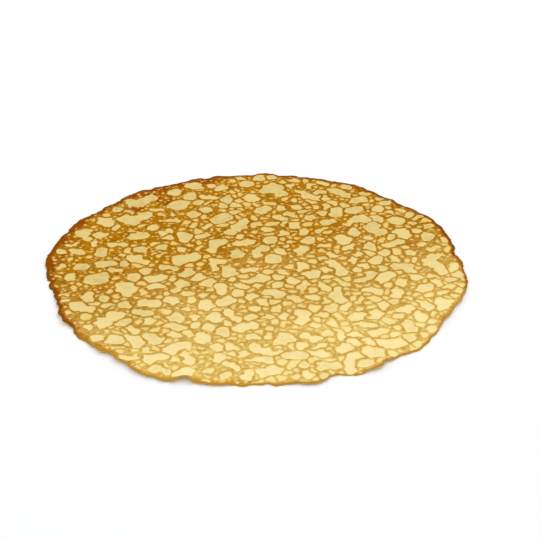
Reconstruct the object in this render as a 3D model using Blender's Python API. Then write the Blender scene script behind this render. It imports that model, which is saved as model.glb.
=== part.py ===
"""A flat, open crepe about 300 mm across, lying on a surface, +Z up.

The sheet is worked out in millimetres round the middle of the pan that it was baked in, and scaled
to metres at the end. The origin is the middle of its bounding box, on the surface that it lies on.
"""
import math

import bmesh
import bpy
import numpy as np
from mathutils import Vector
from mathutils.geometry import delaunay_2d_cdt

MM = 0.001
NAME = "crepe"

# Driving dimensions of the sheet
RADIUS = 149.6
THICKNESS = 1.5
RIM_THICKNESS = 0.8
RIM_TAPER = 6.0

# Lobes and nicks of the edge: middle and half width in degrees from +X, and rise
EDGE_LOBES = (
    (8.0, 2.0, -2.4),
    (24.0, 7.0, 1.6),
    (41.0, 2.6, -2.0),
    (57.0, 6.0, 2.0),
    (79.0, 1.8, 1.5),
    (87.5, 3.2, 4.2),
    (106.0, 1.8, -1.9),
    (117.0, 4.2, -2.3),
    (131.5, 5.0, 2.9),
    (166.0, 15.5, 3.6),
    (176.5, 4.5, 1.1),
    (188.4, 1.1, -1.2),
    (191.0, 1.4, 1.4),
    (197.5, 9.0, -3.4),
    (201.8, 1.2, -0.7),
    (213.0, 2.2, -1.9),
    (218.0, 7.0, -1.0),
    (230.5, 1.6, -1.8),
    (244.6, 6.8, 4.8),
    (252.8, 1.3, -1.4),
    (265.0, 2.2, -0.9),
    (271.4, 3.2, -2.6),
    (278.5, 2.6, -1.6),
    (284.0, 2.2, 1.9),
    (290.3, 2.4, -2.8),
    (299.5, 4.4, 2.7),
    (304.4, 1.2, -1.4),
    (315.5, 5.0, 2.2),
    (333.0, 6.0, -1.8),
    (350.0, 8.0, 2.2),
)
# How far the edge's own middle lies from the pan's middle
EDGE_SHIFT = (-0.4, 2.0)
RAGGED_SIZE = 6.0
RAGGED_RISE = 0.9

# Where the rim curls up: middle and half width in degrees, rise, and reach inward from the edge
RIM_CURLS = (
    (26.0, 14.0, 1.6, 18.0),
    (64.0, 9.0, 0.9, 12.0),
    (118.0, 16.0, 1.0, 14.0),
    (160.0, 15.0, 0.8, 16.0),
    (205.0, 8.0, 1.3, 13.0),
    (235.0, 13.0, 1.4, 16.0),
    (252.5, 2.2, 2.4, 9.0),
    (285.0, 6.0, 1.0, 12.0),
    (302.0, 4.0, 1.7, 10.0),
    (338.0, 12.0, 1.2, 16.0),
)
CURL_BEND = 1.5
LOOSE_RIM_RISE = 0.65
LOOSE_RIM_REACH = 9.0
LOOSE_RIM_BEND = 2.0
LOOSE_RIM_SHARE = 0.5

# Low blisters where the middle of the sheet doesn't touch the surface
BLISTER_RISE = 2.4
BLISTER_START = 0.42
BLISTER_CLEAR = 40.0
BLISTER_RIM_CLEAR = 25.0

# Browning, from 0 to about 1: its mean, its patches, and its rise towards the back left and at the rim
BROWNING = 0.32
MOST_BROWN = 1.2
WIDE_PATCHES = 0.26
SMALL_PATCHES = 0.30
BROWNER_WAY = (-0.7, 0.8)
BROWNER_THERE = 0.30
BROWNER_RIM = 0.7
RIM_BAND = 5.0
RIM_BAND_THERE = 1.5
# Patches that browned more: x, y, reach and rise
BROWN_SPOTS = (
    (-92.0, 119.0, 14.0, 0.4),
    (-97.0, 87.0, 10.0, 0.5),
    (-76.0, 101.0, 11.0, 0.5),
    (-68.0, 75.0, 15.0, 0.3),
    (-40.0, 118.0, 9.0, 0.4),
    (-138.0, 35.0, 14.0, 0.5),
    (-135.0, 63.0, 10.0, 0.4),
    (-144.0, 5.0, 10.0, 0.4),
    (-105.0, 41.0, 12.0, 0.3),
    (-108.0, -33.0, 12.0, 0.3),
    (-122.0, -43.0, 10.0, 0.4),
    (-137.0, -57.0, 15.0, 0.8),
    (-128.0, -77.0, 15.0, 0.8),
    (-114.0, -96.0, 13.0, 0.6),
    (-17.0, 35.0, 9.0, 0.5),
    (-40.0, -33.0, 9.0, 0.35),
    (-2.0, -51.0, 11.0, 0.4),
    (22.0, 99.0, 16.0, 0.4),
    (70.0, 81.0, 15.0, 0.4),
    (112.0, 33.0, 14.0, 0.4),
    (52.0, -11.0, 12.0, 0.35),
    (94.0, -55.0, 11.0, 0.3),
)

# Size of the table of random values behind each smooth field, and where on it the pan's middle falls
FIELD_TABLE = 64
FIELD_START = (31.3, 17.7)

# Shallow dents left by the steam bubbles of the batter, fewer and smaller where it browned
DENT_DEPTH = 0.32
DENT_WALL = 0.9
CELL_GROWTH = 2.3
GROWTH_LOST = 3.0
CROWDED_GROWTH = 0.8
WALL_WIDTH = 1.4
WALL_GAINED = 1.4
RIM_GAP = 1.0
RIM_GAP_THERE = 1.5
# The largest cells at their true size, each a chain of circles (x, y, radius)
LARGEST_CELLS = (
    ((-101.0, 103.0, 5.0), (-94.0, 99.0, 6.4), (-90.0, 103.0, 5.0), (-85.0, 107.0, 6.4)),
    ((-103.0, 72.0, 7.0), (-96.0, 68.0, 6.0), (-92.0, 74.0, 5.0), (-87.0, 80.0, 6.4)),
    ((-110.0, 89.0, 5.2),),
    ((-117.0, 67.0, 6.4), (-122.0, 73.0, 2.4)),
    ((-131.0, 50.0, 6.6), (-128.0, 41.0, 4.2)),
    ((-118.0, 47.0, 4.8),),
    ((-94.0, 44.0, 4.2), (-86.0, 47.0, 5.4)),
    ((-80.0, 59.0, 5.0),),
    ((-63.0, 95.0, 8.4),),
    ((-67.0, 118.0, 6.4),),
    ((-55.0, 112.0, 6.6),),
    ((-53.0, 130.0, 7.2),),
    ((-38.0, 130.0, 3.8), (-30.0, 127.0, 5.8)),
    ((-8.0, 133.0, 5.8),),
    ((5.0, 121.0, 4.6), (13.0, 127.0, 8.6), (20.0, 117.0, 5.4)),
    ((-40.0, 109.0, 4.8), (-35.0, 108.0, 4.2)),
    ((-47.0, 102.0, 4.8),),
    ((-25.0, 104.0, 5.2),),
    ((-5.0, 109.0, 6.6),),
    ((-41.0, 88.0, 5.4),),
    ((3.0, 87.0, 7.4),),
    ((-27.0, 76.0, 7.4), (-32.0, 68.0, 5.0)),
    ((-11.0, 65.0, 4.6), (-15.0, 57.0, 6.4), (-20.0, 50.0, 4.0)),
    ((-72.0, 51.0, 4.0), (-66.5, 53.0, 3.4)),
    ((-55.0, 46.0, 6.0), (-54.0, 38.0, 4.4)),
    ((-71.0, 29.0, 4.8),),
    ((-28.0, 35.0, 6.2), (-31.0, 29.0, 4.6), (-33.0, 24.0, 4.4)),
    ((-15.0, 19.0, 5.6),),
    ((-56.0, 8.0, 6.4), (-47.0, 11.0, 6.4)),
    ((-30.0, 5.0, 4.6), (-24.0, 7.0, 4.0), (-30.0, -2.5, 3.5)),
    ((-108.0, 32.0, 4.6), (-100.0, 32.0, 4.4)),
    ((-133.0, 21.0, 5.6),),
    ((-116.0, 19.0, 5.6),),
    ((-112.0, 1.0, 5.0), (-105.0, 5.0, 4.0)),
    ((-132.0, -16.0, 5.2),),
    ((-115.0, -18.0, 8.4), (-109.0, -12.0, 4.6)),
    ((-94.0, -29.0, 6.4), (-90.0, -36.0, 6.4)),
    ((-88.0, -17.0, 5.4),),
    ((-80.0, -8.0, 4.8),),
    ((-74.0, -19.0, 4.6), (-67.0, -15.0, 5.0)),
    ((-52.0, -25.0, 5.6), (-55.0, -33.0, 3.8)),
    ((-20.0, -12.0, 6.0), (-19.0, -5.0, 4.4)),
    ((-25.0, -28.0, 4.5), (-24.0, -36.0, 4.4)),
    ((-34.0, -53.0, 6.8),),
    ((-77.0, -50.0, 4.8), (-69.0, -51.0, 5.2)),
    ((-122.0, -56.0, 5.2), (-114.0, -58.0, 5.6)),
    ((-97.0, -67.0, 5.6), (-102.0, -75.0, 6.0)),
    ((-88.0, -75.0, 5.4),),
    ((-53.0, -68.0, 5.8),),
    ((-27.0, -68.0, 5.6),),
    ((-50.0, -82.0, 5.0), (-57.0, -79.0, 4.0)),
    ((-8.0, -81.0, 5.6), (-1.0, -79.0, 4.4)),
    ((-20.0, -89.0, 5.2),),
    ((-92.0, -96.0, 6.0),),
    ((-70.0, -92.0, 4.8), (-64.0, -98.0, 4.8)),
    ((-46.0, -103.0, 6.4), (-54.0, -108.0, 4.8)),
    ((-45.0, -113.0, 3.6), (-42.0, -120.0, 4.4)),
    ((-22.0, -118.0, 4.6),),
    ((-62.0, -130.0, 4.2), (-55.0, -132.5, 3.6)),
    ((6.0, -133.0, 5.0), (13.0, -130.5, 5.4)),
)
CELL_SEED = 5
CELL_LIMIT = 112
# Each size of the other cells: tries, smallest and largest radius, gap, darkest browning, most lobes
CELL_SIZES = (
    (500, 3.8, 6.2, 2.6, 1.0, 5),
    (2600, 2.6, 4.4, 2.3, 1.2, 4),
)
LIMIT_SPREAD = (0.5, 1.1)
SMALLER_MORE_OFTEN = 1.5
# The lobes of a cell: how softly they join, how far each turns, shrinks and steps from the one before
LOBE_BLEND = 0.5
LOBE_TURN = 1.3
LOBE_SHRINK = (0.55, 1.1)
LOBE_STEP = (0.55, 0.95)
LOBED_RADIUS = 0.8

BATTER_COLOUR = (0.72, 0.47, 0.16, 1.0)
BATTER_ROUGHNESS = 0.6

# Fineness of the faceted sheet
EDGE_POINTS = 360
RIM_RINGS = (3.0, 7.5)
RING_POINTS = 10
RING_STEP = 0.25
RING_REACH = 16.0
FILL_SPACING = 10.0
FILL_GAP = 3.2
RIM_CLEAR = 1.0
INSIDE_ONLY = 1
SAME_POINT = 1e-4
SHARP_ANGLE = 40.0


def smooth_noise(seed, size):
    """A smooth random field between -1 and 1 whose bumps are about this size."""
    table = np.random.default_rng(seed).uniform(-1.0, 1.0, (FIELD_TABLE, FIELD_TABLE))

    def value(x, y):
        u, v = np.asarray(x) / size + FIELD_START[0], np.asarray(y) / size + FIELD_START[1]
        i, j = np.floor(u).astype(int), np.floor(v).astype(int)
        a, b = (t * t * t * (t * (6 * t - 15) + 10) for t in (u - i, v - j))
        i, j, next_i, next_j = (k % FIELD_TABLE for k in (i, j, i + 1, j + 1))
        low = table[i, j] * (1 - b) + table[i, next_j] * b
        high = table[next_i, j] * (1 - b) + table[next_i, next_j] * b
        return low * (1 - a) + high * a

    return value


# Smooth random fields, each with its seed and the size of its bumps
WIDE_NOISE = smooth_noise(11, 34.0)
PATCH_NOISE = smooth_noise(12, 13.0)
BLISTER_NOISE = smooth_noise(13, 38.0)
RAGGED_NOISE = smooth_noise(14, RAGGED_SIZE)
RIM_NOISE = smooth_noise(15, 16.0)
# The domain warp that makes the cells uneven: two fields and a strength for each size
WARPS = (
    (smooth_noise(21, 11.0), smooth_noise(22, 11.0), 1.9),
    (smooth_noise(23, 4.4), smooth_noise(24, 4.4), 1.5),
)


def smooth_step(value):
    t = np.clip(value, 0.0, 1.0)
    return t * t * (3.0 - 2.0 * t)


def lobe(angle, middle, half_width):
    """A bump with a flat top, 1 in the middle, of an angle in degrees."""
    offset = (angle - middle + 180.0) % 360.0 - 180.0
    return np.exp(-((offset / half_width) ** 4))


def edge_radius(angle):
    """Distance of the edge from the pan's middle."""
    radius = RADIUS + sum(rise * lobe(angle, middle, width) for middle, width, rise in EDGE_LOBES)
    turn = np.radians(angle)
    radius = radius + EDGE_SHIFT[0] * np.cos(turn) + EDGE_SHIFT[1] * np.sin(turn)
    return radius + RAGGED_RISE * RAGGED_NOISE(RADIUS * np.cos(turn), RADIUS * np.sin(turn))


def inward(x, y):
    """Distance in from the edge, and the angle in degrees."""
    angle = np.degrees(np.arctan2(y, x)) % 360.0
    return edge_radius(angle) - np.hypot(x, y), angle


def lift(x, y):
    """Height of the underside above the surface: 0 over most of the sheet."""
    depth, angle = inward(x, y)
    height = BLISTER_RISE * np.clip(BLISTER_NOISE(x, y) - BLISTER_START, 0.0, None)
    height = height * smooth_step((np.hypot(x, y) - BLISTER_CLEAR) / BLISTER_CLEAR)
    height = height * smooth_step(depth / BLISTER_RIM_CLEAR)
    for middle, width, rise, reach in RIM_CURLS:
        height = height + rise * lobe(angle, middle, width) * smooth_step(1.0 - depth / reach) ** CURL_BEND
    loose = np.clip(LOOSE_RIM_SHARE + RIM_NOISE(x, y), 0.0, None)
    return height + LOOSE_RIM_RISE * loose * smooth_step(1.0 - depth / LOOSE_RIM_REACH) ** LOOSE_RIM_BEND


def back_left(x, y):
    """How far a place is towards the back left, about 1 at the rim there and -1 across from it."""
    return (BROWNER_WAY[0] * x + BROWNER_WAY[1] * y) / RADIUS


def browning(x, y):
    """How strongly the batter browned: more at the rim and towards the back left."""
    depth, _ = inward(x, y)
    patches = WIDE_PATCHES * WIDE_NOISE(x, y) + SMALL_PATCHES * PATCH_NOISE(x, y)
    for across, along, reach, rise in BROWN_SPOTS:
        patches = patches + rise * smooth_step(1.0 - np.hypot(x - across, y - along) / reach)
    rim = np.clip(1.0 - depth / (RIM_BAND + RIM_BAND_THERE * back_left(x, y)), 0.0, 1.0)
    return np.clip(BROWNING + patches + BROWNER_THERE * back_left(x, y) + BROWNER_RIM * rim, 0.0, MOST_BROWN)


def warp(x, y):
    """How far each place is shifted before the cells are measured there."""
    return sum(np.array((across(x, y), along(x, y))) * strength for across, along, strength in WARPS)


def place_cells():
    """Cells as chains of circles (x, y, radius), large ones first, each clear of the others."""
    cells = [seeded(np.array(chain)) for chain in LARGEST_CELLS]
    placed = np.vstack(cells)
    draw = np.random.default_rng(CELL_SEED)
    for tries, smallest, largest, gap, darkest, most_lobes in CELL_SIZES:
        for _ in range(tries):
            chain = random_chain(draw, smallest, largest, most_lobes)
            limit = darkest * draw.uniform(*LIMIT_SPREAD)
            x, y, radius = chain.T
            from_rim = inward(x, y)[0] - radius - RIM_GAP_THERE * np.clip(back_left(x, y), 0.0, 1.0)
            if from_rim.min() < RIM_GAP or browning(x[0], y[0]) > limit:
                continue
            spans = np.hypot(placed[:, 0, None] - x, placed[:, 1, None] - y)
            if (spans - placed[:, 2, None] - radius).min() < gap:
                continue
            placed = np.vstack((placed, chain))
            cells.append(chain)
            if len(cells) == CELL_LIMIT:
                return cells
    return cells


def growth(x, y):
    """How far the cells' borders lie outside their circles, less where the batter browned."""
    return CELL_GROWTH - GROWTH_LOST * np.clip(browning(x, y), 0.0, 1.0)


def seeded(chain):
    """The circles that the warp and the growth bring back to this chain's own place and size."""
    x, y, radius = chain.T
    shift = warp(x, y)
    return np.column_stack((x + shift[0], y + shift[1], radius - np.minimum(growth(x, y), CROWDED_GROWTH)))


def random_chain(draw, smallest, largest, most_lobes):
    """A bent chain of touching circles somewhere on the sheet."""
    place, away = draw.uniform(0.0, 2 * math.pi), RADIUS * math.sqrt(draw.uniform())
    radius = smallest + (largest - smallest) * draw.uniform() ** SMALLER_MORE_OFTEN
    lobes = 1 + int(draw.uniform() * most_lobes)
    heading = draw.uniform(0.0, 2 * math.pi)
    turns = draw.uniform(-LOBE_TURN, LOBE_TURN, most_lobes)
    shrinks = draw.uniform(*LOBE_SHRINK, most_lobes)
    steps = draw.uniform(*LOBE_STEP, most_lobes)
    if lobes > 1:
        radius *= LOBED_RADIUS
    x, y = away * math.cos(place), away * math.sin(place)
    chain = []
    for turn, shrink, step in list(zip(turns, shrinks, steps))[:lobes]:
        chain.append((x, y, radius))
        heading += turn
        away = radius * (1.0 + shrink) * step
        x, y, radius = x + away * math.cos(heading), y + away * math.sin(heading), radius * shrink
    return np.array(chain)


def cell_depth(x, y, cells):
    """Distance inside the border of the nearest cell, negative outside."""
    shift = warp(x, y)
    across, along = x + shift[0], y + shift[1]
    nearest = np.full(np.shape(x), np.inf)
    second = nearest.copy()
    for chain in cells:
        gaps = [np.hypot(across - cx, along - cy) - radius for cx, cy, radius in chain]
        gap = -LOBE_BLEND * np.logaddexp.reduce([-g / LOBE_BLEND for g in gaps])
        second = np.minimum(second, np.maximum(nearest, gap))
        nearest = np.minimum(nearest, gap)
    wall = WALL_WIDTH + WALL_GAINED * np.clip(browning(x, y), 0.0, 1.0)
    return np.minimum(growth(x, y) - nearest, (second - nearest - wall) / 2)


def thickness(x, y, cells):
    """Thickness of the sheet: thin at the rim, and less inside the cells."""
    depth, _ = inward(x, y)
    body = RIM_THICKNESS + (THICKNESS - RIM_THICKNESS) * smooth_step(depth / RIM_TAPER)
    return body - DENT_DEPTH * smooth_step(cell_depth(x, y, cells) / DENT_WALL)


def ring_at(depth, count):
    """Points at an even spacing round the sheet, this far in from its edge."""
    angle = np.arange(count) * 360.0 / count
    radius = edge_radius(angle) - depth
    turn = np.radians(angle)
    return np.column_stack((radius * np.cos(turn), radius * np.sin(turn)))


def cell_rings(cells):
    """Points round each cell, on its border and at the foot of its wall."""
    turn = np.arange(RING_POINTS) * 2 * math.pi / RING_POINTS
    ways = np.column_stack((np.cos(turn), np.sin(turn)))
    steps = np.arange(RING_STEP, RING_REACH, RING_STEP)
    rings = []
    for chain in cells:
        middle = np.average(chain[:, :2], axis=0, weights=chain[:, 2] ** 2)
        middle = middle - warp(*middle)
        x = middle[0] + np.outer(steps, ways[:, 0])
        y = middle[1] + np.outer(steps, ways[:, 1])
        reach = RING_STEP * np.cumprod(cell_depth(x, y, cells) > 0, axis=0).sum(axis=0)
        reach = (np.roll(reach, 1) + 2 * reach + np.roll(reach, -1)) / 4
        if reach.min() > 2 * DENT_WALL:
            rings.append(middle + reach[:, None] * ways)
            rings.append(middle + (reach - DENT_WALL)[:, None] * ways)
    return np.vstack(rings)


def fill_points(rings):
    """An even lattice over the rest of the sheet, clear of the rings and of the rim."""
    rows = np.arange(-RADIUS, RADIUS, FILL_SPACING * math.sqrt(0.75))
    columns = np.arange(-RADIUS, RADIUS, FILL_SPACING)
    x, y = np.meshgrid(columns, rows)
    x[::2] += FILL_SPACING / 2
    x, y = x.ravel(), y.ravel()
    inner = inward(x, y)[0] > RIM_RINGS[-1] + FILL_GAP
    x, y = x[inner], y[inner]
    gap = np.hypot(x[:, None] - rings[:, 0], y[:, None] - rings[:, 1]).min(axis=1)
    clear = gap > FILL_GAP
    return np.column_stack((x[clear], y[clear]))


def flat_sheet(cells):
    """Points and triangles of the sheet seen from above."""
    rings = cell_rings(cells)
    inner = np.vstack([ring_at(depth, EDGE_POINTS // 2) for depth in RIM_RINGS])
    near_rim = inward(rings[:, 0], rings[:, 1])[0] < RIM_RINGS[-1] + RIM_CLEAR
    rings = rings[~near_rim]
    points = np.vstack((ring_at(0.0, EDGE_POINTS), inner, rings, fill_points(rings)))
    loop = list(range(EDGE_POINTS))
    result = delaunay_2d_cdt([Vector(point) for point in points], [], [loop], INSIDE_ONLY, SAME_POINT)
    return np.array([tuple(point) for point in result[0]]), result[2]


def build_sheet(cells):
    """The sheet as one closed solid, its two faces split into triangles alike."""
    points, triangles = flat_sheet(cells)
    x, y = points.T
    under = lift(x, y)
    over = under + thickness(x, y, cells)
    work = bmesh.new()
    height = work.verts.layers.float.new("height of the top")
    centre = (points.min(axis=0) + points.max(axis=0)) / 2
    for point, low, high in zip(points - centre, under, over):
        vertex = work.verts.new((*point, low))
        vertex[height] = high
    work.verts.ensure_lookup_table()
    for triangle in triangles:
        work.faces.new([work.verts[index] for index in triangle])
    grown = bmesh.ops.extrude_face_region(work, geom=work.faces[:], use_keep_orig=True)
    for item in grown["geom"]:
        if isinstance(item, bmesh.types.BMVert):
            item.co.z = item[height]
    work.verts.layers.float.remove(height)
    bmesh.ops.recalc_face_normals(work, faces=work.faces[:])
    bmesh.ops.scale(work, verts=work.verts[:], vec=(MM, MM, MM))
    mesh = bpy.data.meshes.new(NAME)
    work.to_mesh(mesh)
    work.free()
    mesh.shade_smooth()
    mesh.set_sharp_from_angle(angle=math.radians(SHARP_ANGLE))
    return mesh


def batter_material():
    material = bpy.data.materials.new("browned batter")
    material.use_nodes = True
    shader = material.node_tree.nodes["Principled BSDF"]
    shader.inputs["Base Color"].default_value = BATTER_COLOUR
    shader.inputs["Roughness"].default_value = BATTER_ROUGHNESS
    shader.inputs["Metallic"].default_value = 0.0
    return material


def main():
    for item in list(bpy.data.objects):
        bpy.data.objects.remove(item, do_unlink=True)
    mesh = build_sheet(place_cells())
    mesh.materials.append(batter_material())
    crepe = bpy.data.objects.new(NAME, mesh)
    collection = bpy.data.collections.new("Crepe")
    bpy.context.scene.collection.children.link(collection)
    collection.objects.link(crepe)


main()
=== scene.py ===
"""The looks of a flat, open crepe: its browned lace of steam bubbles, its thin ragged rim and its underside.

The sheet is worked out in millimetres round the middle of the pan that it was baked in, as the solid's source
does it, and is scaled to metres at the end.
"""
import math

import bpy
import numpy as np
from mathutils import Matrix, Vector
from mathutils.geometry import delaunay_2d_cdt


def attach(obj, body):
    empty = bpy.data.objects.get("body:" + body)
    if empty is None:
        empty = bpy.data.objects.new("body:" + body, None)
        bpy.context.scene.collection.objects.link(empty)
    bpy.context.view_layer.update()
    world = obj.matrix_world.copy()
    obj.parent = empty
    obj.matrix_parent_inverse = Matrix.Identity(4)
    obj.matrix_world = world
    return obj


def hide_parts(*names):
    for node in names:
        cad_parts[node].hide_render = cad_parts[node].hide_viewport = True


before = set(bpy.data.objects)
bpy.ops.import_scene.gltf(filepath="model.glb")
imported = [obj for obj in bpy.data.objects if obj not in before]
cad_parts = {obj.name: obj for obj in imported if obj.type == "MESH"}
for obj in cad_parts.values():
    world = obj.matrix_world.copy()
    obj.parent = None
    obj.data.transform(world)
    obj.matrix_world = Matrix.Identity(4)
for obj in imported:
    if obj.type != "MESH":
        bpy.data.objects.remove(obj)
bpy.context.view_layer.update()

MM = 0.001
NAME = "crepe_sheet"

# Driving dimensions of the sheet, as in the solid
RADIUS = 149.6
THICKNESS = 1.5
RIM_THICKNESS = 0.8
RIM_TAPER = 6.0
CAD_EDGE_POINTS = 360

# Lobes and nicks of the edge: middle and half width in degrees from +X, and rise
EDGE_LOBES = (
    (8.0, 2.0, -2.4),
    (24.0, 7.0, 1.6),
    (41.0, 2.6, -2.0),
    (57.0, 6.0, 2.0),
    (79.0, 1.8, 1.5),
    (87.5, 3.2, 4.2),
    (106.0, 1.8, -1.9),
    (117.0, 4.2, -2.3),
    (131.5, 5.0, 2.9),
    (166.0, 15.5, 3.6),
    (176.5, 4.5, 1.1),
    (188.4, 1.1, -1.2),
    (191.0, 1.4, 1.4),
    (197.5, 9.0, -3.4),
    (201.8, 1.2, -0.7),
    (213.0, 2.2, -1.9),
    (218.0, 7.0, -1.0),
    (230.5, 1.6, -1.8),
    (244.6, 6.8, 4.8),
    (252.8, 1.3, -1.4),
    (265.0, 2.2, -0.9),
    (271.4, 3.2, -2.6),
    (278.5, 2.6, -1.6),
    (284.0, 2.2, 1.9),
    (290.3, 2.4, -2.8),
    (299.5, 4.4, 2.7),
    (304.4, 1.2, -1.4),
    (315.5, 5.0, 2.2),
    (333.0, 6.0, -1.8),
    (350.0, 8.0, 2.2),
)
# How far the edge's own middle lies from the pan's middle
EDGE_SHIFT = (-0.4, 2.0)
RAGGED_SIZE = 6.0
RAGGED_RISE = 0.9
# Fray that the solid's edge doesn't have, and the share of it that reaches the rings inside the edge
FRAYED_SIZE = 2.1
FRAYED_RISE = 0.4
FRAYED_INSIDE = 0.5
# Small nicks that the solid's edge doesn't have: middle and half width in degrees, and rise
SMALL_NICKS = (
    (106.5, 1.5, -1.1),
    (122.0, 1.2, -1.8),
    (136.5, 0.8, -1.2),
    (147.0, 0.8, -1.2),
    (161.0, 1.4, -1.4),
    (188.2, 0.6, -1.0),
    (195.2, 0.8, -1.3),
    (199.6, 0.9, -1.4),
)

# Where the rim curls up: middle and half width in degrees, rise, and reach inward from the edge
RIM_CURLS = (
    (26.0, 14.0, 1.6, 18.0),
    (64.0, 9.0, 0.9, 12.0),
    (118.0, 16.0, 1.0, 14.0),
    (160.0, 15.0, 0.8, 16.0),
    (205.0, 8.0, 1.3, 13.0),
    (235.0, 13.0, 1.4, 16.0),
    (252.5, 2.2, 2.4, 9.0),
    (285.0, 6.0, 1.0, 12.0),
    (302.0, 4.0, 1.7, 10.0),
    (338.0, 12.0, 1.2, 16.0),
)
CURL_BEND = 1.5
LOOSE_RIM_RISE = 0.65
LOOSE_RIM_REACH = 9.0
LOOSE_RIM_BEND = 2.0
LOOSE_RIM_SHARE = 0.5

# Low blisters where the middle of the sheet doesn't touch the surface
BLISTER_RISE = 2.4
BLISTER_START = 0.42
BLISTER_CLEAR = 40.0
BLISTER_RIM_CLEAR = 25.0

# Browning, from 0 to about 1: its mean, its patches, and its rise towards the back left and at the rim
BROWNING = 0.32
MOST_BROWN = 1.2
WIDE_PATCHES = 0.26
SMALL_PATCHES = 0.30
BROWNER_WAY = (-0.7, 0.8)
BROWNER_THERE = 0.30
BROWNER_RIM = 0.7
RIM_BAND = 5.0
RIM_BAND_THERE = 1.5
# Patches that browned more: x, y, reach and rise
BROWN_SPOTS = (
    (-92.0, 119.0, 14.0, 0.4),
    (-97.0, 87.0, 10.0, 0.5),
    (-76.0, 101.0, 11.0, 0.5),
    (-68.0, 75.0, 15.0, 0.3),
    (-40.0, 118.0, 9.0, 0.4),
    (-138.0, 35.0, 14.0, 0.5),
    (-135.0, 63.0, 10.0, 0.4),
    (-144.0, 5.0, 10.0, 0.4),
    (-105.0, 41.0, 12.0, 0.3),
    (-108.0, -33.0, 12.0, 0.3),
    (-122.0, -43.0, 10.0, 0.4),
    (-137.0, -57.0, 15.0, 0.8),
    (-128.0, -77.0, 15.0, 0.8),
    (-114.0, -96.0, 13.0, 0.6),
    (-17.0, 35.0, 9.0, 0.5),
    (-40.0, -33.0, 9.0, 0.35),
    (-2.0, -51.0, 11.0, 0.4),
    (22.0, 99.0, 16.0, 0.4),
    (70.0, 81.0, 15.0, 0.4),
    (112.0, 33.0, 14.0, 0.4),
    (52.0, -11.0, 12.0, 0.35),
    (94.0, -55.0, 11.0, 0.3),
)

# Size of the table of random values behind each smooth field, and where on it the pan's middle falls
FIELD_TABLE = 64
FIELD_START = (31.3, 17.7)

# Shallow dents left by the steam bubbles of the batter, fewer and smaller where it browned
DENT_DEPTH = 0.32
DENT_WALL = 0.9
CELL_GROWTH = 2.3
GROWTH_LOST = 3.0
CROWDED_GROWTH = 0.8
WALL_WIDTH = 1.4
WALL_GAINED = 1.4
RIM_GAP = 1.0
RIM_GAP_THERE = 1.5
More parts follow.
